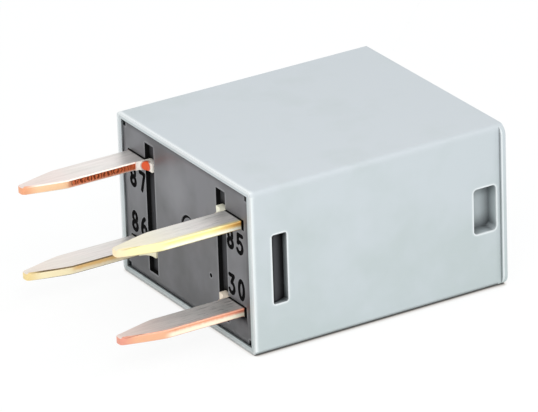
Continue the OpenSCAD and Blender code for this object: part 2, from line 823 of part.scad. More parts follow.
module armature() {
    notch = spring_bend_r + spring_t;
    corner = 0.8;
    color([0.60, 0.60, 0.58])
    opened() difference() {
        along_x(armature_x, spring_x) difference() {
            translate([-yoke_out, -armature_w / 2]) intersection() {
                square([yoke_out + armature_end, armature_w]);
                translate([-far, corner]) offset(r = corner)
                    square([far + yoke_out + armature_end - corner, armature_w - 2 * corner]);
            }
            translate([-yoke_out, 0]) square([2 * notch, spring_w + 2 * spring_t], center = true);
        }
        for (y = armature_rivet_y)
            turned_x([armature_x, y, 0]) armature_rivet_hole(rivet_fit);
    }
}

// Shank of an armature rivet with its countersunk lower end, grown by gap
module armature_rivet_hole(gap) {
    sink = 0.3;
    polygon([[0, -gap], [rivet_r + sink + gap, -gap], [rivet_r + sink + gap, 0],
             [rivet_r + gap, sink], [rivet_r + gap, armature_t + gap], [0, armature_t + gap]]);
}

module armature_rivets() {
    color([0.72, 0.72, 0.70])
    opened() for (y = armature_rivet_y)
        turned_x([armature_x, y, 0]) {
            armature_rivet_hole(0);
            translate([0, armature_t])
                rivet_outline(rivet_r, spring_t, rivet_head_r, rivet_head, rivet_r, eps);
        }
}

// Leaf seen along z: a strip along the middle line, from the yoke round the hinge to the tip
module spring_profile() {
    mid = spring_t / 2;
    leg_y = -yoke_out - mid;
    tilt = [sin(open_angle), cos(open_angle)];
    arm = rest_point([spring_x + mid, -yoke_out]);
    corner = arm + tilt * (leg_y - arm[1]) / tilt[1];
    line = round_path([[yoke_top - spring_leg, leg_y], corner,
                       rest_point([spring_x + mid, spring_end])], spring_bend_r);
    dirs = path_directions(line);
    side = [for (i = [0 : len(line) - 1]) mid * [-dirs[i][1], dirs[i][0]]];
    polygon(concat([for (i = [0 : len(line) - 1]) line[i] + side[i]],
                   [for (i = [len(line) - 1 : -1 : 0]) line[i] - side[i]]));
}

module contact_spring() {
    taper = 1.5;
    taper_y = armature_end - taper;
    color([0.78, 0.62, 0.38])
    difference() {
        intersection() {
            along_z(-spring_w / 2, spring_w / 2) spring_profile();
            along_x(0, far) polygon([
                [-far, -spring_w / 2], [taper_y, -spring_w / 2],
                [taper_y + taper, -spring_tip_w / 2], [far, -spring_tip_w / 2],
                [far, spring_tip_w / 2], [taper_y + taper, spring_tip_w / 2],
                [taper_y, spring_w / 2], [-far, spring_w / 2]]);
        }
        for (z = [-1, 1])
            turned_y([spring_rivet_x, -far, z * spring_rivet_z])
                square([spring_hole_r, far]);
        opened() {
            for (y = armature_rivet_y)
                turned_x([pole_face, y, 0]) square([spring_hole_r, far]);
            turned_x([pole_face, contact_y, 0]) square([shank_r + rivet_fit, far]);
        }
    }
}

module moving_contact() {
    color([0.85, 0.85, 0.83])
    opened() translate([spring_top, contact_y, 0]) rotate([90, 0, -90]) rotate_extrude()
        rivet_outline(shank_r, spring_t, contact_r, moving_head, tail_r, tail_t);
}

in_frame() cover();
in_frame() base();
in_frame() terminal_30();
in_frame() terminal_85();
in_frame() terminal_86();
in_frame() terminal_87();
in_frame() bobbin();
in_frame() coil_winding();
in_frame() core();
in_frame() yoke();
in_frame() spring_rivets();
in_frame() terminal_rivet();
in_frame() fixed_contact();
in_frame() back_stop();
in_frame() resistor_body();
in_frame() resistor_caps();
in_frame() resistor_leads();
in_frame() solder_joints();
in_frame() armature();
in_frame() contact_spring();
in_frame() armature_rivets();
in_frame() moving_contact();
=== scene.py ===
# %% [markdown]
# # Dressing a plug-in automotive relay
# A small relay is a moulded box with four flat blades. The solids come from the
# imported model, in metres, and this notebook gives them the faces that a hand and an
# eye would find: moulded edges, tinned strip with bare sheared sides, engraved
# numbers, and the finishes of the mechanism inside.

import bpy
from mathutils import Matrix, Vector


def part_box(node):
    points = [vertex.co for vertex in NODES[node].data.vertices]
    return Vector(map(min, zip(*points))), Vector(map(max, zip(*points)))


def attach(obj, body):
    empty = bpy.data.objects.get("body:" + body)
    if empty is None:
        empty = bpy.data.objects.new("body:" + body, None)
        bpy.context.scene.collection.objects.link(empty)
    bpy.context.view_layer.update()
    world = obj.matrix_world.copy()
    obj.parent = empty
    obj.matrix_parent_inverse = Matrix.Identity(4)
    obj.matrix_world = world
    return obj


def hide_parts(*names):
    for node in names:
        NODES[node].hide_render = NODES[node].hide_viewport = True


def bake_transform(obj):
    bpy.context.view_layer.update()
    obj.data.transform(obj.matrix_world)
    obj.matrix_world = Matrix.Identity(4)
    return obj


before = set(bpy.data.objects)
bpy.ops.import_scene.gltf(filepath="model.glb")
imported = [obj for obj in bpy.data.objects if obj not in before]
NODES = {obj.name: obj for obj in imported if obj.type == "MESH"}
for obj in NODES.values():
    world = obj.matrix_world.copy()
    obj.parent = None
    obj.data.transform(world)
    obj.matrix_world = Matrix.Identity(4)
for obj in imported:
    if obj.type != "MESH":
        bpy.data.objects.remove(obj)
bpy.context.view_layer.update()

import math

import bmesh
import bpy
import numpy as np
from mathutils import Matrix, Vector

MM = 0.001

# %% [markdown]
# ## The camera
# The view looks down on the blades from the left, from far away through a very long
# lens, so the box keeps nearly parallel edges. The camera is turned about its own
# axis by a couple of degrees. Its axes are worked out from three angles, because a
# rotation that is written as vectors is easy to check.

# %% Camera
CAMERA_AT = (-0.23470, -0.39394, 0.21080)       # in metres
HEADING, DIP, ROLL = (math.radians(angle) for angle in (59.054, 23.830, -1.959))
LENS_MM, SENSOR_MM = 383.5, 36
NEAREST_M = 0.01

ahead = Vector((math.cos(HEADING) * math.cos(DIP), math.sin(HEADING) * math.cos(DIP), -math.sin(DIP)))
flat_right = Vector((math.sin(HEADING), -math.cos(HEADING), 0))
flat_up = flat_right.cross(ahead)
right = math.cos(ROLL) * flat_right + math.sin(ROLL) * flat_up
up = math.cos(ROLL) * flat_up - math.sin(ROLL) * flat_right

camera = bpy.data.objects.new("camera", bpy.data.cameras.new("camera"))
camera.matrix_world = Matrix.Translation(CAMERA_AT) @ Matrix((right, up, -ahead)).transposed().to_4x4()
camera.data.sensor_width = SENSOR_MM
camera.data.lens = LENS_MM
camera.data.clip_start = NEAREST_M
bpy.context.scene.collection.objects.link(camera)
bpy.context.scene.camera = camera
bpy.context.scene.view_settings.view_transform = "Standard"
print("camera", round(camera.location.length, 3), "m from the relay")

# %% [markdown]
# ## Small tools for materials
# Every finish below is a node tree. One function turns a written colour into the
# linear values that the shader wants, and one adds a node, sets its properties and
# fills its sockets, with a number, a colour or another node's output. The others are
# steps that come back often: a smooth step from one value to another, the product or
# the largest of many values, and colours laid over one another.

# %% Material tools
def linear(colour):
    """An sRGB hex colour as linear red, green, blue and alpha."""
    parts = [int(colour[i:i + 2], 16) / 255 for i in (0, 2, 4)]
    return [p / 12.92 if p <= 0.04045 else ((p + 0.055) / 1.055) ** 2.4 for p in parts] + [1]


def add(tree, kind, sockets=None, stops=(), **settings):
    """Adds a shader node, sets its properties, and gives each named socket a value or a link.

    stops are the (position, hex colour) pairs of a colour ramp.
    """
    made = tree.nodes.new("ShaderNode" + kind)
    for name, value in settings.items():
        setattr(made, name, value)
    for name, value in (sockets or {}).items():
        if isinstance(value, bpy.types.NodeSocket):
            tree.links.new(value, made.inputs[name])
        else:
            made.inputs[name].default_value = value
    for _ in stops[2:]:
        made.color_ramp.elements.new(0.5)       # a new ramp has two
    for place, (position, colour) in enumerate(stops):
        point = made.color_ramp.elements[place]
        point.position, point.color = position, linear(colour)
    return made


def finish(name):
    """A new material and its empty node tree."""
    made = bpy.data.materials.new(name)
    made.use_nodes = True
    made.node_tree.nodes.clear()
    return made, made.node_tree


def in_mm(tree, stretch=(1, 1, 1)):
    """The piece's own coordinates in millimetres, squeezed along each axis by stretch."""
    place = add(tree, "TexCoord").outputs["Object"]
    scale = [s / MM for s in stretch]
    return add(tree, "Mapping", {"Vector": place, "Scale": scale}).outputs["Vector"]


def fade(tree, value, start, stop):
    """A smooth step of value from 0 at start to 1 at stop."""
    return add(tree, "MapRange", {"Value": value, "From Min": start, "From Max": stop},
               interpolation_type="SMOOTHSTEP").outputs["Result"]


def joined(tree, operation, *values):
    """All the values joined, one after the other, by one Math operation, such as MULTIPLY or MAXIMUM."""
    result = values[0]
    for value in values[1:]:
        result = add(tree, "Math", {0: result, 1: value}, operation=operation).outputs[0]
    return result


def layered(tree, below, *layers):
    """Colours laid over one another: each (share, colour) covers that share of all below it.

    A colour is an sRGB hex value or another node's output.
    """
    for share, above in layers:
        first, second = (linear(colour) if isinstance(colour, str) else colour for colour in (below, above))
        below = add(tree, "Mix", {"Factor": share, "A": first, "B": second},
                    data_type="RGBA").outputs["Result"]
    return below


print("material tools ready")

# %% [markdown]
# ## The studio
# Small parts are shot in a light tent: white all round, one large lamp beside the
# camera, a strip above that draws the bright line along each moulded edge, and a very
# small lamp close by that lifts the top near the front corner. The floor is white to
# the camera and to shiny metal, and still keeps a shadow. Real contact shadows lie in
# the last millimetre beside a thing, so two of them are measured by how closed in the
# floor is: a narrow one along the long side and a wider, fainter one before the base.

# %% Floor, world and lamps
CONTACT_MM = 0.6                      # how far from the long side the floor is dark with contact shadow
FAINT_MM = 3 * CONTACT_MM             # the same before the base
TO_SIDE, TO_BASE = (0.0, 0.8, 0.6), (0.8, 0.0, 0.6)       # where the floor looks for the relay
FLOOR_GLOW, GLOSS_GLOW = 1.03, 0.3    # how bright the floor glows to the camera, and how much more in gloss
SHADOW_SHARE = 0.14                   # how much of the lamps' light and shadow the camera sees on it
TENT_LIGHT = 0.78
FLOOR_HALF_M, BELOW_MM = 3.0, 0.01    # half width of the floor, and how far it lies below the relay


def mirrored_share(tree, path):
    """1 for a ray that comes from a shiny or clear surface."""
    return joined(tree, "MAXIMUM", path.outputs["Is Glossy Ray"], path.outputs["Is Transmission Ray"])


paper, tree = finish("white_paper")
path = add(tree, "LightPath")
shades = []
for reach_mm, leaning, stops in (
        (CONTACT_MM, TO_SIDE, [(0.10, "4A4644"), (0.45, "E0DDDA"), (0.80, "FFFFFF")]),
        (FAINT_MM, TO_BASE, [(0.25, "9C9894"), (0.50, "F0EEEC"), (0.66, "FFFFFF")])):
    near = add(tree, "AmbientOcclusion", {"Distance": reach_mm * MM, "Normal": leaning}, samples=16)
    shades.append(add(tree, "ValToRGB", {"Fac": near.outputs["AO"]}, stops).outputs["Color"])
shade = add(tree, "Mix", {"Factor": 1.0, "A": shades[0], "B": shades[1]}, data_type="RGBA",
            blend_type="MULTIPLY").outputs["Result"]
lit = add(tree, "BsdfDiffuse", {"Color": linear("F3F6F4")})
glow = add(tree, "Emission", {"Color": shade, "Strength": FLOOR_GLOW})
half_glow = add(tree, "Emission", {"Color": linear("FFFFFF"), "Strength": GLOSS_GLOW})
in_gloss = add(tree, "AddShader", {0: lit.outputs[0], 1: half_glow.outputs[0]})
to_camera = add(tree, "MixShader", {"Fac": SHADOW_SHARE, 1: glow.outputs[0], 2: lit.outputs[0]})
shiny = add(tree, "MixShader", {"Fac": mirrored_share(tree, path), 1: lit.outputs[0], 2: in_gloss.outputs[0]})
seen = add(tree, "MixShader", {"Fac": path.outputs["Is Camera Ray"], 1: shiny.outputs[0],
                               2: to_camera.outputs[0]})
add(tree, "OutputMaterial", {"Surface": seen.outputs[0]})

floor_mesh = bpy.data.meshes.new("floor")
floor_mesh.from_pydata([(x * FLOOR_HALF_M, y * FLOOR_HALF_M, -BELOW_MM * MM)
                        for x, y in ((-1, -1), (1, -1), (1, 1), (-1, 1))], [], [(0, 1, 2, 3)])
floor_mesh.materials.append(paper)
floor = bpy.data.objects.new("floor", floor_mesh)
bpy.context.scene.collection.objects.link(floor)

world = bpy.data.worlds.new("tent")
bpy.context.scene.world = world
world.use_nodes = True
world.node_tree.nodes.clear()
tree = world.node_tree
path = add(tree, "LightPath")
shown = joined(tree, "MAXIMUM", mirrored_share(tree, path), path.outputs["Is Camera Ray"])
tent = add(tree, "Background", {"Color": linear("F6F8FA"), "Strength": TENT_LIGHT})
white = add(tree, "Background", {"Color": linear("FFFFFF"), "Strength": 1.0})
mixed = add(tree, "MixShader", {"Fac": shown, 1: tent.outputs[0], 2: white.outputs[0]})
add(tree, "OutputWorld", {"Surface": mixed.outputs[0]})


def lamp(name, towards, distance, size, power):
    """A square lamp that faces the relay from a direction; distance and size in metres, power in watts."""
    light = bpy.data.lights.new(name, "AREA")
    light.size, light.energy = size, power
    made = bpy.data.objects.new(name, light)
    direction = Vector(towards).normalized()
    made.location = direction * distance
    made.rotation_euler = direction.to_track_quat("Z", "Y").to_euler()
    bpy.context.scene.collection.objects.link(made)


lamp("key", towards=(-0.30, -0.70, 0.65), distance=1.0, size=0.30, power=1.8)
lamp("edge_strip", towards=(0.46, -0.40, 0.79), distance=0.9, size=0.25, power=0.6)
lamp("near_fill", towards=(-0.39, -0.56, 0.73), distance=0.10, size=0.04, power=0.011)
print("studio: floor, tent and", len(bpy.data.lights), "lamps")

# %% [markdown]
# ## Finishes for the mouldings
# Cover and base are PBT, a nylon-like plastic moulded in steel tools. Spark-eroded
# tools leave a satin skin: the gloss is broken up by a texture too fine to see as
# such, and the tone drifts a little across a face where the melt flowed. Light and
# shade are also painted into the tone with ambient occlusion: a painted highlight
# along the edges, where the solid just below its own skin is open, and painted shade
# where other surfaces close a corner in. The tone is painted lighter towards the top,
# and the base's face gets soft spots of painted light and shade.

# %% The painted edge highlights
cover_low, cover_high = (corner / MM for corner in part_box("cover"))
MIDDLE_MM = (cover_low.z + cover_high.z) / 2     # height of the middle of the relay
HALF_W, HALF_H = cover_high.y, MIDDLE_MM - cover_low.z      # half width and half height of the cover
LONG_EDGE = (HALF_W - 0.5, HALF_H - 0.4)         # further out than both lies one of the four long edges
LONG_EDGE_HIGHLIGHT = 0.45                            # how much of the painted highlight is left on it
OPEN_RIM = (HALF_W - 0.75, HALF_H - 0.35)        # nearer in than both lies the inner edge of the open rim
RIM_MM, RIM_WIDER = 0.4, 1.6                     # length of the rim, and how much wider its painted highlight is
END_X = cover_high.x - 0.3                       # beyond it lies the rim of the closed end
LIP_X, LIP_REACH = END_X - 0.5, 0.3              # from here on shade reaches only that share as far
SOFT_MM = 0.1                                    # width of the change between two such places


def painted_edge_highlight(tree, width_mm):
    """1 along outward edges and 0 on flat skin, from how open the solid is just below its skin.

    The painted highlight covers a wider strip on the edges near the cover's open rim than on the others.
    """
    rim_x = cover_low.x + RIM_MM
    reach = add(tree, "MapRange", {"Value": add(tree, "SeparateXYZ", {"Vector": in_mm(tree)}).outputs["X"],
                                   "From Min": rim_x + SOFT_MM, "From Max": rim_x, "To Min": width_mm * MM,
                                   "To Max": RIM_WIDER * width_mm * MM}).outputs["Result"]
    inner = add(tree, "AmbientOcclusion", {"Distance": reach}, samples=8, inside=True, only_local=True)
    return fade(tree, inner.outputs["AO"], 0.95, 0.60)


def cover_shares(tree, apart, up):
    """How much of the pale edge the cover keeps, and how far its corners' shade reaches, as shares.

    The painted edge highlight is whole at the windows, the pockets and the open rim, faint on the long
    edges, and gone beyond END_X and on the inner edge of the open rim, which lies in the shade.
    """
    across, away = (add(tree, "Math", {0: value}, operation="ABSOLUTE").outputs[0]
                    for value in (apart["Y"], up))
    beyond = [add(tree, "Math", {0: value, 1: limit}, operation="GREATER_THAN").outputs[0]
              for value, limit in zip((across, away), LONG_EDGE)]
    along_edge = add(tree, "MapRange", {"Value": joined(tree, "MULTIPLY", *beyond), "To Min": 1.0,
                                        "To Max": LONG_EDGE_HIGHLIGHT}).outputs["Result"]
    before_end = add(tree, "Math", {0: apart["X"], 1: END_X}, operation="LESS_THAN").outputs[0]
    outside = joined(tree, "MAXIMUM", *(fade(tree, value, limit, limit + SOFT_MM)
                                        for value, limit in zip((across, away), OPEN_RIM)))
    reach = add(tree, "MapRange", {"Value": apart["X"], "From Min": LIP_X - 0.05, "From Max": LIP_X,
                                   "To Min": 1.0, "To Max": LIP_REACH}).outputs["Result"]
    return joined(tree, "MULTIPLY", along_edge, before_end, outside), reach


print("cover", [round(size, 2) for size in cover_high - cover_low], "mm")

# %% Moulded plastics
CORNER_MM, DEEP_TIMES = 0.5, 3       # how near a surface has to be to shade a corner, and times that if deep
DRIFT_SCALE = 0.22                   # one soft change of tone in about 4.5 mm
GRAIN_DEEP_MM = 0.004                # the real grain is finer; it is drawn as coarse as it needs to show


def moulded(name, colour, drift, edge, shade, roughness, edge_mm=0.30, full_at=0.08, painted_height_light=0.0, clouds=(),
            on_cover=False, grain_mm=0.12, gloss=0.5):
    """Satin moulded plastic: colour drifts to drift, goes to edge on outward edges, to shade in corners.

    edge is the colour of the painted highlight on outward edges, shade that of the painted shade in
    corners. edge_mm sets the width of the painted highlight, full_at the open share of the view at which
    a corner is as dark as shade, and painted_height_light how much more the tone goes to drift for each
    mm of height, which paints the tone lighter towards the top. Painted shade reaches further into
    corners on faces that carry a 1 in "deep". clouds are soft spots of painted light and shade
    on the face towards -x, each (y, height above the middle, radius, share, colour), and grain_mm is the
    size of the skin's texture.
    """
    made, tree = finish(name)
    place = in_mm(tree)
    apart = add(tree, "SeparateXYZ", {"Vector": place}).outputs
    slow = add(tree, "TexNoise", {"Vector": place, "Scale": DRIFT_SCALE, "Detail": 3.0,
                                  "Roughness": 0.5}).outputs["Fac"]
    # Painted light: the tone goes further towards drift the higher it lies.
    up = add(tree, "Math", {0: apart["Z"], 1: -MIDDLE_MM}, operation="ADD").outputs[0]
    drift_and_painted_light = add(tree, "Math", {0: up, 1: painted_height_light, 2: slow}, operation="MULTIPLY_ADD").outputs[0]
    tone = add(tree, "ValToRGB", {"Fac": drift_and_painted_light}, [(0.3, colour), (0.7, drift)]).outputs["Color"]
    for y, above, radius, share, cloud in clouds:
        away = add(tree, "VectorMath", {0: place, 1: (cover_low.x, y, MIDDLE_MM + above)},
                   operation="DISTANCE").outputs["Value"]
        tone = layered(tree, tone, (joined(tree, "MULTIPLY", fade(tree, away, radius, 0.2 * radius), share),
                                    cloud))

    # Painted highlight along the outward edges, and painted shade in the corners, which reaches further on
    # deep faces.
    edge_highlight = painted_edge_highlight(tree, edge_mm)
    deep = add(tree, "Attribute", attribute_name="deep").outputs["Fac"]
    reach = add(tree, "MapRange", {"Value": deep, "To Min": CORNER_MM * MM,
                                   "To Max": DEEP_TIMES * CORNER_MM * MM}).outputs["Result"]
    if on_cover:
        highlight_share, reach_share = cover_shares(tree, apart, up)
        edge_highlight = joined(tree, "MULTIPLY", edge_highlight, highlight_share)
        reach = joined(tree, "MULTIPLY", reach, reach_share)
    open_share = add(tree, "AmbientOcclusion", {"Distance": reach}, samples=8).outputs["AO"]
    closed = add(tree, "MapRange", {"Value": open_share, "From Min": full_at, "From Max": 0.96,
                                    "To Min": 1.0, "To Max": 0.0}).outputs["Result"]
    tone = layered(tree, tone, (edge_highlight, edge), (closed, shade))

    fine = add(tree, "TexNoise", {"Vector": place, "Scale": 1 / grain_mm, "Detail": 2.0}).outputs["Fac"]
    satin = add(tree, "MapRange", {"Value": slow, "To Min": roughness - 0.03, "To Max": roughness + 0.03})
    bump = add(tree, "Bump", {"Height": fine, "Distance": GRAIN_DEEP_MM * MM, "Strength": 0.6})
    skin = add(tree, "BsdfPrincipled", {"Base Color": tone, "Roughness": satin.outputs["Result"], "IOR": 1.57,
                                        "Specular IOR Level": gloss, "Normal": bump.outputs["Normal"]})
    add(tree, "OutputMaterial", {"Surface": skin.outputs[0]})
    return made


# edge is the painted highlight, shade the painted corner shade, and the tone is painted lighter towards the
# top.
cover_plastic = moulded("moulded_pbt_blue_grey", colour="C2CBCC", drift="CBD2D6", edge="F2F6F7",
                        shade="141B20", roughness=0.42, full_at=0.20, painted_height_light=0.025, on_cover=True)
# Soft spots of painted light and shade on the base's face; its tone is also painted lighter towards the top.
BASE_PAINTED_SPOTS = (
    (2.0, 3.4, 3.6, 0.45, "8E8D92"),                                          # painted light, above the middle
    (4.8, 6.4, 3.2, 0.60, "38373A"), (-7.8, 5.6, 3.2, 0.35, "38373A"),        # painted shade, along the top under the rim
    *((-11.2, above, 2.4, 0.50, "1C1C1E") for above in (3.2, 0.0, -3.6)),     # painted shade of the rim
)
base_plastic = moulded("moulded_pbt_dark_grey", colour="4E4D50", drift="706F74", edge="848488",
                       shade="121214", roughness=0.36, edge_mm=0.2, full_at=0.40, painted_height_light=0.02,
                       clouds=BASE_PAINTED_SPOTS)
# Partly painted shade: a rougher, less glossy plastic whose darker tone stands for the shade on the latches
# and the floors of the long grooves.
rough_plastic_painted_shade = moulded("rough_dark_grey_painted_shade", colour="464649", drift="4B4B4F", edge="505054",
                         shade="0E0F11", roughness=0.75, full_at=0.30, gloss=0.2)
bobbin_plastic = moulded("moulded_nylon_black", colour="2A2D30", drift="303438", edge="44484C",
                         shade="0C0C0D", roughness=0.45, grain_mm=0.15)
# Painted shade: near-black for the floors of the engraved marks and the walls of the grooves and slots, where
# there is only shade.
black_painted_shade = moulded("engraved_floor_painted_shade", colour="0C0C0D", drift="101011", edge="101011",
                     shade="060606", roughness=0.90, gloss=0.1)
print("plastics:", cover_plastic.name, base_plastic.name, bobbin_plastic.name)

# %% [markdown]
# ## Finishes for the terminals
# The blades are stamped from strip that was tinned on both faces before it was cut.
# So the faces are silvery with fine rolling lines along the strip. The real lines are
# too fine to show, so they are drawn about a quarter of a millimetre apart. The cut
# sides and the coined edge round the tip show the bare metal: reddish copper on the
# two contact terminals, yellow brass on the two coil terminals. A cut side has a
# smooth band where the punch sheared it and a rough, darker band where it broke, with
# the tin smeared or torn a little over both. The tin is worn towards the base, and
# thin enough along the outer edge to let the metal through.

# %% Tinned strip
STRIP_T = 0.8            # thickness of the strip in mm
BLADE_HALF = 1.4         # half width of a blade in mm
TIP_L = 4.1              # length of the narrowing tip in mm
BLADE_L = cover_low.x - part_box("terminal_87")[0].x / MM      # length of a blade outside the cover in mm
SPOT_AT, SPOT_R = (0.10, 1.90, 0.0), 0.5                     # the rubbed spot: along, inwards and up, in mm


def tinned_strip(name, upper, lower, split, root, tip, nose, edge, shoulder_highlight, worn, soft=0.1, tear=0.0,
                 spot=None, bleed=0.0):
    """Tin on the faces; on a cut side an upper and a lower band that meet at height split, from 0 to 1.

    The side goes to root near the base, to tip along the tip and to nose at its very end. edge is the
    colour of the pressed chamfer, and shoulder_highlight a pale colour painted on the wide root as a
    highlight. soft is the width of the change between the bands and tear how dark the torn marks of the
    upper band are. spot colours a rubbed spot on the wide root, worn is how much the tin is scratched,
    and bleed how much of the upper band shows through the thin tin along the outer edge. The mesh
    carries what the finish needs: cut and coined are 0 or 1,
    level runs from -1 to 1, along is in mm from the cover's rim and inwards in mm from the middle of the
    blade.
    """
    made, tree = finish(name)
    place = in_mm(tree)
    cut, coined, level, along, inwards = (add(tree, "Attribute", attribute_name=key).outputs["Fac"]
                                          for key in ("cut", "coined", "level", "along", "inwards"))
    rolled, cloudy, scratches, torn = (
        add(tree, "TexNoise", {"Vector": in_mm(tree, stretch), "Scale": scale, "Detail": detail,
                               "Roughness": rough}).outputs["Fac"]
        for stretch, scale, detail, rough in (
            ((0.15, 3.2, 1), 1.2, 4.0, 0.65),         # the lines of the rolls, long and narrow
            ((1, 1, 1), 0.45, 2.0, 0.5),              # soft clouds in the tin
            ((0.5, 5.0, 1), 1.6, 5.0, 0.7),           # scratches from plugging in
            ((2.6, 1, 1.3), 1.0, 3.0, 0.6)))          # the ragged line between the two bands

    def times(*factors):
        """The product of several values."""
        return joined(tree, "MULTIPLY", *factors)

    # The tin is streaked, then dulled and scratched towards the base, and warmer along the outer edge
    # and towards the end, where it is thin.
    streaks = add(tree, "ValToRGB", {"Fac": rolled},
                  [(0.3, "D8D5D1"), (0.5, "ECE9E5"), (0.7, "F8F5F2")]).outputs["Color"]
    warm = add(tree, "ValToRGB", {"Fac": cloudy}, [(0.35, "F0EEE8"), (0.65, "FAEEEA")]).outputs["Color"]
    near_base = add(tree, "MapRange", {"Value": along, "From Min": 8.0, "From Max": 2.0, "To Min": 0.15,
                                       "To Max": 1.0}).outputs["Result"]
    outer_edge = fade(tree, inwards, 0.6 - BLADE_HALF, 0.05 - BLADE_HALF)
    towards_end = fade(tree, along, BLADE_L - 2 * TIP_L, BLADE_L - 0.5)
    tin = layered(tree, streaks, (0.4, warm),
                  (times(fade(tree, along, BLADE_L, 1.0), worn, 0.35), "8E8C8A"),
                  (times(fade(tree, scratches, 0.52, 0.66), near_base, worn), "5C5A58"),
                  (times(outer_edge, bleed), upper),
                  (times(towards_end, 0.14 + 0.25 * bleed), upper))

    # The cut side: two bands with a ragged line between them, then the marks and the places along it.
    ragged = add(tree, "Math", {0: torn, 1: -0.5}, operation="ADD").outputs[0]
    height = add(tree, "Math", {0: level, 1: 0.5, 2: 0.5}, operation="MULTIPLY_ADD").outputs[0]
    uneven = add(tree, "Math", {0: ragged, 1: 0.25, 2: height}, operation="MULTIPLY_ADD").outputs[0]
    is_upper = fade(tree, uneven, split - soft, split + soft)
    in_tip = fade(tree, along, BLADE_L - TIP_L - 0.6, BLADE_L - TIP_L + 0.4)
    behind_tip = add(tree, "Math", {0: 1.0, 1: in_tip}, operation="SUBTRACT").outputs[0]
    in_nose = fade(tree, along, BLADE_L - 1.6, BLADE_L - 0.1)
    near_root = fade(tree, along, 3.4, 0.2)
    wide = times(fade(tree, inwards, BLADE_HALF - 0.1, BLADE_HALF - 0.02), fade(tree, along, 0.95, 0.8))
    ticks = add(tree, "TexWave", {"Vector": place, "Scale": 0.95, "Distortion": 7.0, "Detail": 3.0,
                                  "Detail Scale": 2.2}, bands_direction="X").outputs["Fac"]
    marks = joined(tree, "MAXIMUM", fade(tree, ticks, 0.45, 0.75), fade(tree, level, 0.62, 0.74))
    side = layered(tree, lower, (is_upper, upper), (times(marks, is_upper, behind_tip, tear), "7A3418"),
                   (times(near_root, is_upper), root), (in_tip, tip), (coined, edge),
                   (times(coined, near_root, bleed), root), (in_nose, nose), (wide, shoulder_highlight))
    if spot:
        here = add(tree, "CombineXYZ", {"X": along, "Y": inwards, "Z": times(level, STRIP_T / 2)}).outputs[0]
        away = add(tree, "VectorMath", {0: here, 1: SPOT_AT}, operation="DISTANCE").outputs["Value"]
        side = layered(tree, side, (times(fade(tree, away, SPOT_R + 0.1, SPOT_R), wide, 0.6), "8A4A2A"),
                       (times(fade(tree, away, SPOT_R, SPOT_R - 0.08), wide), spot))
    bare = joined(tree, "MAXIMUM", cut, coined, wide)
    # Painted shade: the blade is near black where it runs into its slot in the base.
    painted_slot_shade = times(fade(tree, along, 0.05, -0.07), fade(tree, inwards, BLADE_HALF, BLADE_HALF - 0.06))
    colour = layered(tree, tin, (bare, side), (painted_slot_shade, "0A0908"))

    # The wide root is hardly metallic, so its pale colour shows as a painted highlight; the rest shines as
    # rolled or as cut.
    lines = add(tree, "MapRange", {"Value": rolled, "To Min": 0.26, "To Max": 0.50}).outputs["Result"]
    rough = add(tree, "Mix", {"Factor": bare, "A": lines, "B": 0.42}, data_type="FLOAT").outputs["Result"]
    metallic = add(tree, "MapRange", {"Value": wide, "To Min": 0.62, "To Max": 0.05}).outputs["Result"]
    relief = add(tree, "Mix", {"Factor": bare, "A": rolled, "B": torn}, data_type="FLOAT").outputs["Result"]
    bump = add(tree, "Bump", {"Height": relief, "Distance": 0.03 * MM, "Strength": 0.4})
    metal = add(tree, "BsdfPrincipled", {"Base Color": colour, "Metallic": metallic, "Roughness": rough,
                                         "Normal": bump.outputs["Normal"]})
    add(tree, "OutputMaterial", {"Surface": metal.outputs[0]})
    return made


STRIPS = {
    "87": tinned_strip("copper_strip_torn", upper="EE7E4E", lower="FFAE8E", split=0.28, root="F07848",
                       tip="FFD4AA", nose="F2AC84", edge="FFF4E8", shoulder_highlight="FFF8EE", tear=0.95,
                       spot="E4561E", worn=0.1),
    "30": tinned_strip("copper_strip_smeared", upper="F0A27E", lower="FFF4DC", split=0.62, root="EC8A70",
                       tip="F2B894", nose="EAA08C", edge="F2B498", shoulder_highlight="FFF0DC", soft=0.22, worn=0.75,
                       bleed=0.25),
    "85": tinned_strip("brass_strip_smeared", upper="FFF2A2", lower="FFFCEC", split=0.48, root="E4A654",
                       tip="FFF2BC", nose="FFE8C0", edge="FFF2B0", shoulder_highlight="FFFCE6", soft=0.28, worn=0.3,
                       bleed=0.7),
    "86": tinned_strip("brass_strip_torn", upper="F6CA88", lower="FFF0D2", split=0.45, root="F8E4A8",
                       tip="FDEEC6", nose="F2D89C", edge="7A6648", shoulder_highlight="FFF8D8", soft=0.2, worn=0.15),
}
print("strip finishes for terminals", ", ".join(sorted(STRIPS)))

# %% [markdown]
# ## Finishes for the mechanism
# Nobody sees the inside until the cover is off, but it is what makes the relay work,
# so each piece gets the metal or lacquer it really has. Plain metals differ mostly in
# colour, in how rough they are, and in which way their fine scratches run.

# %% Metals and solder
def worked_metal(name, colour, shade, roughness, scratch, depth_mm=0.004):
    """Metal with fine marks squeezed along each axis by scratch, in two hex tones."""
    made, tree = finish(name)
    marks = add(tree, "TexNoise", {"Vector": in_mm(tree, scratch), "Scale": 1.0,
                                   "Detail": 3.0}).outputs["Fac"]
    tone = add(tree, "ValToRGB", {"Fac": marks}, [(0.3, shade), (0.7, colour)]).outputs["Color"]
    rough = add(tree, "MapRange", {"Value": marks, "To Min": roughness - 0.06, "To Max": roughness + 0.06})
    bump = add(tree, "Bump", {"Height": marks, "Distance": depth_mm * MM, "Strength": 0.4})
    metal = add(tree, "BsdfPrincipled", {"Base Color": tone, "Metallic": 1.0,
                                         "Roughness": rough.outputs["Result"],
                                         "Normal": bump.outputs["Normal"]})
    add(tree, "OutputMaterial", {"Surface": metal.outputs[0]})
    return made


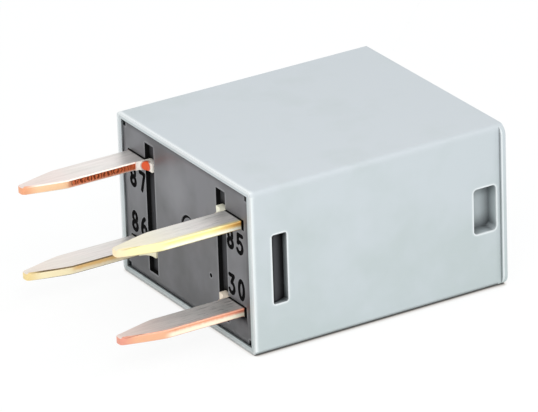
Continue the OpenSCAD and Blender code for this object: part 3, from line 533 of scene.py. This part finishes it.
zinc_iron = worked_metal("zinc_plated_iron", "C9CCCB", "A9ADAE", 0.34, (1.2, 1.2, 1.2))
pole_iron = worked_metal("ground_iron", "BDBCB8", "A3A29F", 0.28, (1, 9, 1))
rivet_steel = worked_metal("bright_rivet_steel", "D0D0CE", "B4B4B3", 0.25, (3, 3, 3))
contact_silver = worked_metal("contact_silver_alloy", "E6E4DF", "D2CFC9", 0.22, (4, 4, 4))
spring_bronze = worked_metal("rolled_spring_bronze", "D9AE6E", "C0914F", 0.26, (1, 0.6, 8))
stop_steel = worked_metal("stamped_stop_steel", "C4C4C2", "A6A6A6", 0.32, (1, 7, 7))
solder_tin = worked_metal("frozen_solder", "D6D8DA", "B9BCC0", 0.20, (2, 2, 2), 0.01)
lead_tin = worked_metal("tinned_lead_wire", "D2D0CB", "BDBBB6", 0.30, (5, 5, 5))
print("worked metals, from", zinc_iron.name, "to", lead_tin.name)

# %% Wire and lacquer
WIRE_MM = 0.121          # thickness of the enamelled wire
RESISTOR_L = 4.8         # length of the lacquered body in mm
WAVE_RADIANS = 20        # how far a wave texture of scale 1 turns for each unit of length


def enamelled_wire(name, pitch_mm):
    """Copper wire under clear enamel: fine turns along x, each pitch_mm wide."""
    made, tree = finish(name)
    turns = add(tree, "TexWave", {"Vector": in_mm(tree), "Scale": math.tau / (WAVE_RADIANS * pitch_mm)},
                bands_direction="X").outputs["Fac"]
    tone = add(tree, "ValToRGB", {"Fac": turns},
               [(0.0, "7C3216"), (0.5, "B4562A"), (1.0, "CF7440")]).outputs["Color"]
    bump = add(tree, "Bump", {"Height": turns, "Distance": 0.04 * MM, "Strength": 0.7})
    copper = add(tree, "BsdfPrincipled", {"Base Color": tone, "Metallic": 1.0, "Roughness": 0.3,
                                          "Coat Weight": 0.6, "Coat Roughness": 0.12,
                                          "Normal": bump.outputs["Normal"]})
    add(tree, "OutputMaterial", {"Surface": copper.outputs[0]})
    return made


def banded_lacquer(name, length_mm):
    """Blue resistor lacquer with four painted bands across its length along y."""
    made, tree = finish(name)
    plain = "5D93AE"
    along = add(tree, "SeparateXYZ", {"Vector": in_mm(tree)}).outputs["Y"]
    share = add(tree, "MapRange", {"Value": along, "From Min": -length_mm / 2, "From Max": length_mm / 2})
    bands = add(tree, "ValToRGB", {"Fac": share.outputs["Result"]},
                [(0.0, plain), (0.25, "6B3A1E"), (0.33, plain), (0.40, "5B3E8C"), (0.48, plain),
                 (0.55, "C9602A"), (0.63, plain), (0.72, "B08A3A"), (0.80, plain)])
    bands.color_ramp.interpolation = "CONSTANT"
    ripple = add(tree, "TexNoise", {"Vector": in_mm(tree), "Scale": 1.5, "Detail": 1.0})
    bump = add(tree, "Bump", {"Height": ripple.outputs["Fac"], "Distance": 0.05 * MM, "Strength": 0.4})
    lacquer = add(tree, "BsdfPrincipled", {"Base Color": bands.outputs["Color"], "Roughness": 0.22,
                                           "Normal": bump.outputs["Normal"]})
    add(tree, "OutputMaterial", {"Surface": lacquer.outputs[0]})
    return made


coil_copper = enamelled_wire("enamelled_copper_wire", WIRE_MM)
resistor_lacquer = banded_lacquer("banded_resistor_lacquer", RESISTOR_L)
print("all finishes:", len(bpy.data.materials), "materials")

# %% [markdown]
# ## Giving a solid its edges
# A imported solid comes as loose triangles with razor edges. No real edge is that sharp,
# and the thin bright line that a rounded edge catches is what makes a part look
# moulded or stamped. So each solid that shows is copied and its triangles are merged
# into whole faces, the cover and the blades get their sharp edges rounded, and the
# copy stands for the solid. The work is done in millimetres, because the mesh tools'
# own limits suit a thing that is a few units across better than one of a few
# thousandths.

# %% Rounded copies
WELD_MM = 0.0005         # corners of triangles that are nearer than this are one
FLAT_DEGREES = 0.3       # faces that turn less than this against each other are one


def plain_mesh(piece):
    """Turns a piece's modifiers into its mesh."""
    graph = bpy.context.evaluated_depsgraph_get()
    made = bpy.data.meshes.new_from_object(piece.evaluated_get(graph))
    piece.modifiers.clear()
    piece.data = made


def merged_copy(node, name):
    """A copy of a CAD node, in millimetres, with its triangles merged into whole flat faces."""
    mesh = NODES[node].data.copy()
    mesh.transform(Matrix.Scale(1 / MM, 4))
    work = bmesh.new()
    work.from_mesh(mesh)
    bmesh.ops.remove_doubles(work, verts=work.verts, dist=WELD_MM)
    bmesh.ops.dissolve_limit(work, angle_limit=math.radians(FLAT_DEGREES), verts=work.verts, edges=work.edges)
    work.to_mesh(mesh)
    work.free()
    mesh.materials.clear()
    piece = bpy.data.objects.new(name, mesh)
    bpy.context.scene.collection.objects.link(piece)
    return piece


def round_edges(piece, width_mm, steps, sharper_than):
    """Rounds every edge that turns by more than sharper_than degrees."""
    rounding = piece.modifiers.new("rounding", "BEVEL")
    rounding.width, rounding.segments = width_mm, steps
    rounding.limit_method, rounding.angle_limit = "ANGLE", math.radians(sharper_than)
    rounding.use_clamp_overlap = True
    rounding.miter_outer = "MITER_ARC"
    plain_mesh(piece)


def face_facts(piece):
    """The normals and the centres of all faces, one row each."""
    found = []
    for what in ("normal", "center"):
        values = np.empty(len(piece.data.polygons) * 3)
        piece.data.polygons.foreach_get(what, values)
        found.append(values.reshape(-1, 3))
    return found


def write_faces(piece, name, values):
    """Stores one number on each face of a piece, for its finish to read."""
    piece.data.attributes.new(name, "FLOAT", "FACE").data.foreach_set("value", values.astype(np.float32))


def stand_for(piece, node, material):
    """Brings a worked piece back to metres, shades it smoothly, and lets it stand for its node."""
    piece.data.transform(Matrix.Scale(MM, 4))
    if material is not None:
        piece.data.materials.append(material)
    piece.data.polygons.foreach_set("use_smooth", np.ones(len(piece.data.polygons), bool))
    even = piece.modifiers.new("even_faces", "WEIGHTED_NORMAL")
    even.mode, even.weight, even.keep_sharp = "FACE_AREA", 100, False
    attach(piece, "housing")
    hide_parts(node)
    print(f"{piece.name}: {len(piece.data.polygons)} faces")


# %% [markdown]
# ## The cover
# One moulding, open at the blade end. Its long edges are rounded in the tool, and its
# openings and lip have small radii where the steel was cut. Its inner faces and the
# walls of its windows and pockets are marked as deep, so that the painted shade in
# their corners reaches further.

# %% Cover
COVER_ROUND_MM = 0.14
WALL_IN = 0.4            # a face this far inside the cover's box belongs to its inside, in mm

cover = merged_copy("cover", "cover_moulding")
round_edges(cover, COVER_ROUND_MM, steps=3, sharper_than=35)
normal, centre = face_facts(cover)
half_size = np.array((cover_high - cover_low) / 2)
inside = np.abs(centre - np.array((cover_low + cover_high) / 2)) < half_size - WALL_IN
in_opening = inside[:, 0] & inside[:, 2] & (np.abs(normal[:, 1]) < 0.5)
write_faces(cover, "deep", inside.all(axis=1) | in_opening)
stand_for(cover, "cover", cover_plastic)

# %% [markdown]
# ## The numbers on the base
# Each terminal has its number sunk into the base beside it. A digit is drawn as the
# tool was cut: a round-nosed cutter runs along one or two smooth lines. So each line
# is a path given by a formula, and a half-round section is carried along it. Cutting
# those rods out of the base leaves real grooves.

# %% Digit strokes
DIGIT_W, DIGIT_H = 0.78, 1.66       # size of a digit's middle line in mm
DIGIT_STEP = 1.58                   # from one digit to the next in mm
STROKE_HALF, STROKE_DEEP = 0.21, 0.18


def arc(across, along, width, height, start, stop, steps=28):
    """Points (across + width cos t, along + height sin t) for t from start to stop in degrees."""
    turn = np.radians(np.linspace(start, stop, steps))
    return np.column_stack([across + width * np.cos(turn), along + height * np.sin(turn)])


def ring(across, along, width, height, steps=40):
    """Points all round an ellipse about (across, along), the last one next to the first."""
    return arc(across, along, width, height, 0, 360, steps + 1)[:-1]


def line(start, stop, steps):
    """Points start + share * (stop - start), for equal steps of share from 0 to 1."""
    return np.array(start, float) + np.linspace(0, 1, steps + 1)[:, None] * np.subtract(stop, start)


W, H = DIGIT_W / 2, DIGIT_H / 2
BAR_3 = W - 0.05                    # half width of the upper bar of a 3
DIGITS = {                          # for each digit its lines: the points, and whether they close
    "8": [(ring(0, 0.40, 0.33, 0.43), True), (ring(0, -0.43, 0.39, 0.40), True)],
    "0": [(ring(0, 0, W, H, 48), True)],
    "6": [(ring(0, -0.39, W, 0.44), True), (arc(0.36, -0.36, 0.75, 1.19, 180, 108, 20), False)],
    "7": [(line((-W, H), (W, H), 14), False), (line((W, H), (-0.10, -H), 20), False)],
    "5": [(line((W, H), (-0.28, H), 10), False), (line((-0.28, H), (-0.33, 0.05), 12), False),
          (np.vstack([line((-0.33, 0.05), (-0.12, 0.19), 4), arc(-0.06, -0.32, 0.45, 0.51, 84, -150, 30)]),
           False)],
    "3": [(line((-BAR_3, H), (BAR_3, H), 10), False), (line((BAR_3, H), (-0.04, 0.13), 12), False),
          (arc(-0.04, -0.35, 0.42, 0.48, 90, -150, 32), False)],
}
print("digits drawn:", " ".join(sorted(DIGITS)))

# %% Rods along the strokes
NOSE_DEGREES = [8, 30, 55, 75]      # where the round end of an open rod has its rings


def rod(path, closed, half, deep, sides=12):
    """A rod along a flat path: at each point an ellipse stands across the path, half wide and deep high.

    Point (i, k) is path_i + across_i * half * cos(a_k) * s_i, at depth deep * sin(a_k) * s_i, where s_i
    is 1 along the rod and falls to nothing over the rounded end of an open one.
    """
    swell = np.ones(len(path))
    ahead_of = np.roll(path, -1, 0) - np.roll(path, 1, 0) if closed else np.gradient(path, axis=0)
    tangent = ahead_of / np.linalg.norm(ahead_of, axis=1, keepdims=True)
    if not closed:
        nose = np.sin(np.radians(NOSE_DEGREES))
        reach = np.cos(np.radians(NOSE_DEGREES))[:, None] * half
        path = np.vstack([path[0] - tangent[0] * reach, path, path[-1] + tangent[-1] * reach[::-1]])
        tangent = np.vstack([np.repeat(tangent[:1], len(nose), 0), tangent,
                             np.repeat(tangent[-1:], len(nose), 0)])
        swell = np.concatenate([nose, swell, nose[::-1]])
    across = np.column_stack([-tangent[:, 1], tangent[:, 0]])
    angle = np.linspace(0, math.tau, sides, endpoint=False)
    sideways = (half * np.cos(angle))[None, :, None] * swell[:, None, None]
    flat = path[:, None, :] + across[:, None, :] * sideways
    depth = (deep * np.sin(angle))[None, :] * swell[:, None]
    points = np.concatenate([flat, depth[..., None]], axis=2).reshape(-1, 3)
    rings = len(path) if closed else len(path) - 1
    i, k = np.meshgrid(np.arange(rings), np.arange(sides), indexing="ij")
    here, there, onward = i * sides, ((i + 1) % len(path)) * sides, (k + 1) % sides
    faces = np.stack([here + k, here + onward, there + onward, there + k], axis=2).reshape(-1, 4).tolist()
    if not closed:
        faces += [list(range(sides))[::-1], [(len(path) - 1) * sides + k for k in range(sides)]]
    return points, faces


def on_face(points, middle_y, middle_z, face_x):
    """A flat drawing's points set on the plane x = face_x about (middle_y, middle_z), read from -x."""
    return np.column_stack([face_x + points[:, 2], middle_y - points[:, 0], middle_z + points[:, 1]])


def number_rods(text, middle_y, middle_z, face_x):
    """The rods of a number, centred on (middle_y, middle_z) in the plane x = face_x, read from -x."""
    found = []
    for place, digit in enumerate(text):
        shift = (place - (len(text) - 1) / 2) * DIGIT_STEP
        for path, closed in DIGITS[digit]:
            points, faces = rod(path, closed, STROKE_HALF, STROKE_DEEP)
            found.append((on_face(points, middle_y - shift, middle_z, face_x), faces))
    return found


print("a digit's rod is", 2 * STROKE_HALF, "mm wide and cuts", STROKE_DEEP, "mm deep")

# %% [markdown]
# The cutter object holds every rod. A boolean difference takes it out of the base, and
# gives the new faces the cutter's own material, whose near-black tone is painted shade
# on the floor of each groove.

# %% Cutter for the numbers and the ejector mark
base_low, base_high = (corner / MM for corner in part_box("base"))
middle_z = (base_low.z + base_high.z) / 2
NUMBER_Y = 8.2                       # from the middle of the face, in mm
NUMBERS_UP = (2.10, -2.22)           # heights of the two rows of numbers above the middle, in mm
MARK_Y, MARK_UP, MARK_R, MARK_DEEP = -0.3, 0.4, 1.25, 0.1       # the round ejector mark, in mm
RING_R, RING_HALF, RING_DEEP = 0.88 * MARK_R, 0.13, 0.12        # the ring engraved in it

rods = []
for text, side, row in (("87", 1, 0), ("86", 1, 1), ("85", -1, 0), ("30", -1, 1)):
    rods += number_rods(text, side * NUMBER_Y, middle_z + NUMBERS_UP[row], base_low.x)
ring_points, ring_faces = rod(ring(0, 0, RING_R, RING_R, 48), True, RING_HALF, RING_DEEP)
rods.append((on_face(ring_points, MARK_Y, middle_z + MARK_UP, base_low.x + MARK_DEEP), ring_faces))

cutter_mesh = bpy.data.meshes.new("number_cutter")
starts = np.cumsum([0] + [len(points) for points, _ in rods])
cutter_faces = [[corner + start for corner in face]
                for start, (_, faces) in zip(starts, rods) for face in faces]
cutter_mesh.from_pydata(np.vstack([points for points, _ in rods]).tolist(), [], cutter_faces)
cutter_work = bmesh.new()
cutter_work.from_mesh(cutter_mesh)
bmesh.ops.recalc_face_normals(cutter_work, faces=cutter_work.faces)
cutter_work.to_mesh(cutter_mesh)
cutter_work.free()
cutter_mesh.materials.append(black_painted_shade)
cutter = bpy.data.objects.new("number_cutter", cutter_mesh)
bpy.context.scene.collection.objects.link(cutter)
print("cutter:", len(rods), "rods,", len(cutter_mesh.polygons), "faces")

# %% Base
SKIRT_Y = 10.43                      # half width of the base without its latches, in mm
ROW_Y, ROW_UP = 8.1, 4.1             # the middle of each blade, across and up from the middle, in mm
SLOT_Y, SLOT_HALF = 5.2, 0.6         # where the blades' slots begin, and their half height, in mm
SKIN_MM, GROOVE_MM = 0.1, 0.6        # the long grooves lie between these two depths, in mm

base = merged_copy("base", "base_moulding")
normal, centre = face_facts(base)
for material in (base_plastic, rough_plastic_painted_shade, black_painted_shade):
    base.data.materials.append(material)
in_groove = (centre[:, 0] > base_low.x + SKIN_MM) & (centre[:, 0] < base_low.x + GROOVE_MM)
on_latch = np.abs(centre[:, 1]) > SKIRT_Y
upright = np.abs(normal[:, 0]) < 0.5
in_row = (np.abs(np.abs(centre[:, 2] - middle_z) - ROW_UP) < SLOT_HALF) & (np.abs(centre[:, 1]) > SLOT_Y)
in_slot = (centre[:, 0] > base_low.x + SKIN_MM) & in_row & upright
# Painted shade: the latches and the groove floors take the darker plastic, the walls of the grooves and slots
# the near-black.
base.data.polygons.foreach_set("material_index", np.select(
    [on_latch, (in_groove & upright) | in_slot, in_groove], [1, 2, 1], 0).astype(np.int32))
cut = base.modifiers.new("numbers", "BOOLEAN")
cut.operation, cut.object, cut.solver = "DIFFERENCE", cutter, "EXACT"
cut.use_self, cut.material_mode = True, "TRANSFER"
plain_mesh(base)
bpy.data.objects.remove(cutter)
# Painted shade reaches further into the corners of the latches.
write_faces(base, "deep", np.abs(face_facts(base)[1][:, 1]) > SKIRT_Y)
stand_for(base, "base", None)

# %% [markdown]
# ## The terminals
# A stamped strip has three kinds of face, and its finish needs to know which is which.
# That is measured on the mesh: a face whose normal points along z is tinned, one whose
# normal lies level is a cut side, and what slopes near the tip was coined.

# %% Terminals
STRIP_ROUND_MM = 0.03
SIDE_BELOW, COINED_BELOW = 0.35, 0.93      # upright share of a normal on a cut side and on a coined edge
COINED_IN = 0.6                            # how far into the cover an edge still counts as coined, in mm


def mark_faces(piece, middle_z_mm, blade_y_mm):
    """Writes what each face of a strip is, and where each of its points lies on the blade."""
    normal, centre = face_facts(piece)
    upright = np.abs(normal[:, 2])
    sloping = (upright >= SIDE_BELOW) & (upright < COINED_BELOW)
    write_faces(piece, "cut", upright < SIDE_BELOW)
    write_faces(piece, "coined", sloping & (centre[:, 0] < cover_low.x + COINED_IN))
    points = np.empty(len(piece.data.vertices) * 3)
    piece.data.vertices.foreach_get("co", points)
    points = points.reshape(-1, 3)
    for name, values in (("level", (points[:, 2] - middle_z_mm) / (STRIP_T / 2)),
                         ("along", cover_low.x - points[:, 0]),
                         ("inwards", abs(blade_y_mm) - np.abs(points[:, 1]))):
        stored = piece.data.attributes.new(name, "FLOAT", "POINT")
        stored.data.foreach_set("value", values.astype(np.float32))


for number, side, level, slot in (("30", -1, -1, "tinned_copper"), ("85", -1, 1, "tinned_brass"),
                                  ("86", 1, -1, "tinned_brass"), ("87", 1, 1, "tinned_copper")):
    terminal = merged_copy("terminal_" + number, "terminal_" + number + "_strip")
    round_edges(terminal, STRIP_ROUND_MM, steps=2, sharper_than=25)
    mark_faces(terminal, middle_z + level * ROW_UP, side * ROW_Y)
    stand_for(terminal, "terminal_" + number, STRIPS[number])

# %% [markdown]
# ## The mechanism
# These pieces keep their own solids and only get their finish.

# %% Finishes on the kept solids
KEPT = {
    "bobbin": bobbin_plastic, "coil_winding": coil_copper, "core": pole_iron, "yoke": zinc_iron,
    "spring_rivets": rivet_steel, "terminal_rivet": rivet_steel, "fixed_contact": contact_silver,
    "back_stop": stop_steel, "resistor_body": resistor_lacquer, "resistor_caps": lead_tin,
    "resistor_leads": lead_tin, "solder_joints": solder_tin, "armature": zinc_iron,
    "armature_rivets": rivet_steel, "moving_contact": contact_silver,
}
for node, material in KEPT.items():
    NODES[node].data.materials.clear()
    NODES[node].data.materials.append(material)
print("finished", len(KEPT), "kept solids")

# %% [markdown]
# ## The leaf spring
# The leaf is riveted to the yoke at one end and to the armature at the other, and bends
# where it runs round the hinge. A bend needs points to bend at, so the copy is cut
# into short slices.

# %% Leaf spring
SLICES = 29              # along x and along y

spring = merged_copy("contact_spring", "leaf_spring")
work = bmesh.new()
work.from_mesh(spring.data)
low, high = (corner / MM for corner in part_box("contact_spring"))
for axis, normal in ((0, (1, 0, 0)), (1, (0, 1, 0))):
    for place in np.linspace(low[axis], high[axis], SLICES + 1)[1:-1]:
        at = [0, 0, 0]
        at[axis] = place
        bmesh.ops.bisect_plane(work, geom=work.verts[:] + work.edges[:] + work.faces[:], dist=0.0001,
                               plane_co=at, plane_no=normal)
work.to_mesh(spring.data)
work.free()
spring.data.transform(Matrix.Scale(MM, 4))
spring.data.materials.append(spring_bronze)
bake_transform(spring)
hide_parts("contact_spring")
print("leaf spring:", len(spring.data.polygons), "faces")

# %% Finish
bpy.context.view_layer.update()
